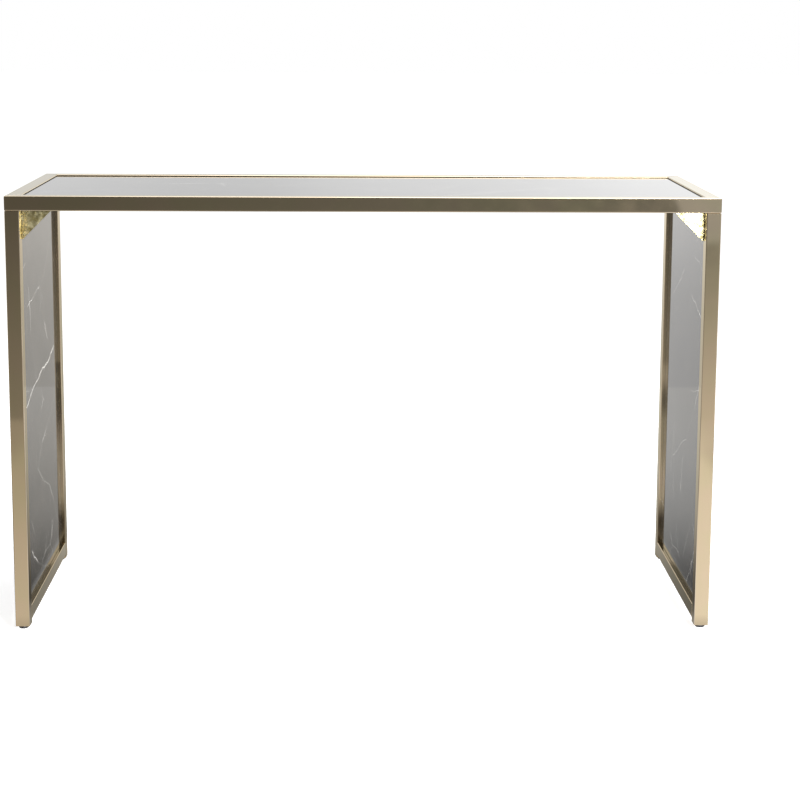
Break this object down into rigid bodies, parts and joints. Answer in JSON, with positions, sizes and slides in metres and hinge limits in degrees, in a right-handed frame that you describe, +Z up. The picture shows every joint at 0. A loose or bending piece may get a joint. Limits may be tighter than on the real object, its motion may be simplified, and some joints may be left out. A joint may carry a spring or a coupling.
{
  "type": "console table",
  "caption": "Console table: stone top set into a square-tube metal frame, closed stone-panel ends, open front and back, levelling glides under the legs.",
  "frame": {"origin": "on the floor under the table's centre, at the glides' undersides", "axes": "+X along the table's length to the right, +Y from the front to the back, +Z up"},
  "size_m": [1.2192, 0.4572, 0.762],
  "materials": {
    "champagne_steel": "polished champagne gold plating on steel tube and plate",
    "black_stone": "polished, black with fine white veins",
    "board": "raw fibreboard",
    "rubber": "matte",
    "black_plastic": "moulded, fine texture",
    "zinc_steel": "zinc plated"
  },
  "bodies": {
    "table": {"bottom_rail_left": "champagne_steel", "bottom_rail_right": "champagne_steel", "bracket_bolt_back_left": "zinc_steel", "bracket_bolt_back_right": "zinc_steel", "bracket_bolt_front_left": "zinc_steel", "bracket_bolt_front_right": "zinc_steel", "corner_bracket_back_left": "champagne_steel", "corner_bracket_back_right": "champagne_steel", "corner_bracket_front_left": "champagne_steel", "corner_bracket_front_right": "champagne_steel", "leg_back_left": "champagne_steel", "leg_back_right": "champagne_steel", "leg_front_left": "champagne_steel", "leg_front_right": "champagne_steel", "leg_plug_back_left": "black_plastic", "leg_plug_back_right": "black_plastic", "leg_plug_front_left": "black_plastic", "leg_plug_front_right": "black_plastic", "panel_cushion_left": "rubber", "panel_cushion_right": "rubber", "panel_tongue_back_left": "champagne_steel", "panel_tongue_back_right": "champagne_steel", "panel_tongue_bottom_left": "champagne_steel", "panel_tongue_bottom_right": "champagne_steel", "panel_tongue_front_left": "champagne_steel", "panel_tongue_front_right": "champagne_steel", "side_stone_panel_left": "black_stone", "side_stone_panel_right": "black_stone", "top_back_rail": "champagne_steel", "top_backing_board": "board", "top_crossbar_left": "champagne_steel", "top_crossbar_right": "champagne_steel", "top_front_rail": "champagne_steel", "top_ledge_back": "champagne_steel", "top_ledge_front": "champagne_steel", "top_ledge_left": "champagne_steel", "top_ledge_right": "champagne_steel", "top_left_rail": "champagne_steel", "top_right_rail": "champagne_steel", "top_stone_panel": "black_stone", "weld_nut_back_left": "zinc_steel", "weld_nut_back_right": "zinc_steel", "weld_nut_front_left": "zinc_steel", "weld_nut_front_right": "zinc_steel"},
    "glide_front_left": {"glide_pad_front_left": "black_plastic", "glide_stem_front_left": "zinc_steel"},
    "glide_front_right": {"glide_pad_front_right": "black_plastic", "glide_stem_front_right": "zinc_steel"},
    "glide_back_left": {"glide_pad_back_left": "black_plastic", "glide_stem_back_left": "zinc_steel"},
    "glide_back_right": {"glide_pad_back_right": "black_plastic", "glide_stem_back_right": "zinc_steel"}
  },
  "joints": [
    {"name": "glide_front_left_screw", "type": "slide", "parent": "table", "child": "glide_front_left", "axis": [0, 0, 1], "range_m": [-0.01, 0]},
    {"name": "glide_front_right_screw", "type": "slide", "parent": "table", "child": "glide_front_right", "axis": [0, 0, 1], "range_m": [-0.01, 0]},
    {"name": "glide_back_left_screw", "type": "slide", "parent": "table", "child": "glide_back_left", "axis": [0, 0, 1], "range_m": [-0.01, 0]},
    {"name": "glide_back_right_screw", "type": "slide", "parent": "table", "child": "glide_back_right", "axis": [0, 0, 1], "range_m": [-0.01, 0]}
  ]
}
